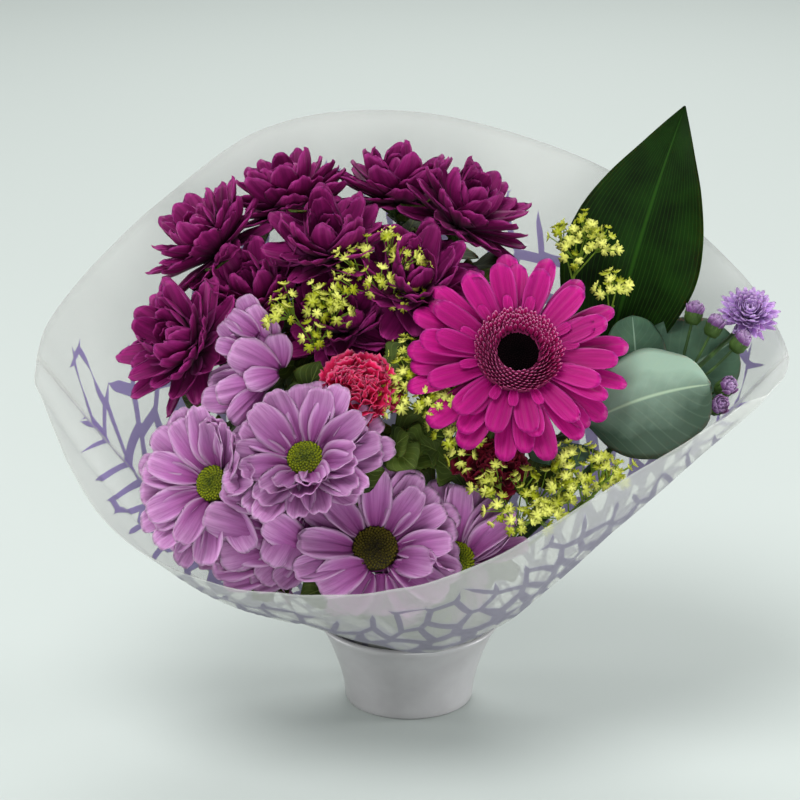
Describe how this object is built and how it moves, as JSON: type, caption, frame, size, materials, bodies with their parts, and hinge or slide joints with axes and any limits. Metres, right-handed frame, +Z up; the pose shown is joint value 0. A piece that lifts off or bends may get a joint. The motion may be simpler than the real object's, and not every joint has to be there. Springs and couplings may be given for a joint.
{
  "type": "mixed flower bouquet in a film sleeve and vase",
  "caption": "Mixed cut-flower bouquet with foliage and filler sprays in a flared frosted film sleeve, standing in a short flared ceramic vase.",
  "frame": {"origin": "middle of the vase's foot, on the surface that it stands on", "axes": "+Z up, +X to the viewer's right along the sleeve's long width, +Y away from the viewer towards the sleeve's high back"},
  "size_m": [0.364, 0.2249, 0.2935],
  "materials": {
    "vase_ceramic": "smooth pale grey satin glaze",
    "sleeve_film": "frosted translucent film with a faint violet net print",
    "lilac_petal": "soft matt petal, pale lilac with darker base and fine grooves",
    "lilac_eye": "dense green-yellow disc florets",
    "purple_petal": "velvety dark magenta petal",
    "gerbera_petal": "satin hot pink petal with fine grooves",
    "gerbera_floret": "short crimson inner florets with light tips",
    "gerbera_eye": "near-black disc florets",
    "carnation_pink": "ruffled crimson petal with paler edge",
    "carnation_red": "ruffled dark red petal",
    "aster_petal": "fine mauve ray florets",
    "aster_eye": "pale mauve disc florets",
    "green_stem": "matt green stem, calyx and lobed leaf",
    "filler_floret": "tiny yellow-green star florets and stalks",
    "eucalyptus_leaf": "waxy grey-green leaf with pale midrib",
    "broad_leaf": "satin very dark green leaf with parallel veins"
  },
  "bodies": {
    "root": {"vase": "vase_ceramic", "sleeve": "sleeve_film", "lilac_1": "lilac_petal", "lilac_1_eye": "lilac_eye", "lilac_2": "lilac_petal", "lilac_2_eye": "lilac_eye", "lilac_3": "lilac_petal", "lilac_3_eye": "lilac_eye", "lilac_4": "lilac_petal", "lilac_4_eye": "lilac_eye", "lilac_5": "lilac_petal", "lilac_5_eye": "lilac_eye", "lilac_6": "lilac_petal", "lilac_6_eye": "lilac_eye", "purple_1": "purple_petal", "purple_2": "purple_petal", "purple_3": "purple_petal", "purple_4": "purple_petal", "purple_5": "purple_petal", "purple_6": "purple_petal", "purple_7": "purple_petal", "purple_8": "purple_petal", "purple_9": "purple_petal", "gerbera": "gerbera_petal", "gerbera_florets": "gerbera_floret", "gerbera_eye": "gerbera_eye", "carnation_pink": "carnation_pink", "carnation_red": "carnation_red", "aster": "aster_petal", "aster_eye": "aster_eye", "purple_stems_left": "green_stem", "purple_stems_middle": "green_stem", "purple_stems_right": "green_stem", "lilac_stems_left": "green_stem", "lilac_stems_front": "green_stem", "lilac_stems_right": "green_stem", "gerbera_stem": "green_stem", "carnation_stem_pink": "green_stem", "carnation_stem_red": "green_stem", "aster_stem": "green_stem", "filler_left": "filler_floret", "filler_middle": "filler_floret", "filler_right": "filler_floret", "filler_front": "filler_floret", "eucalyptus": "eucalyptus_leaf", "broad_leaf": "broad_leaf"}
  },
  "joints": []
}
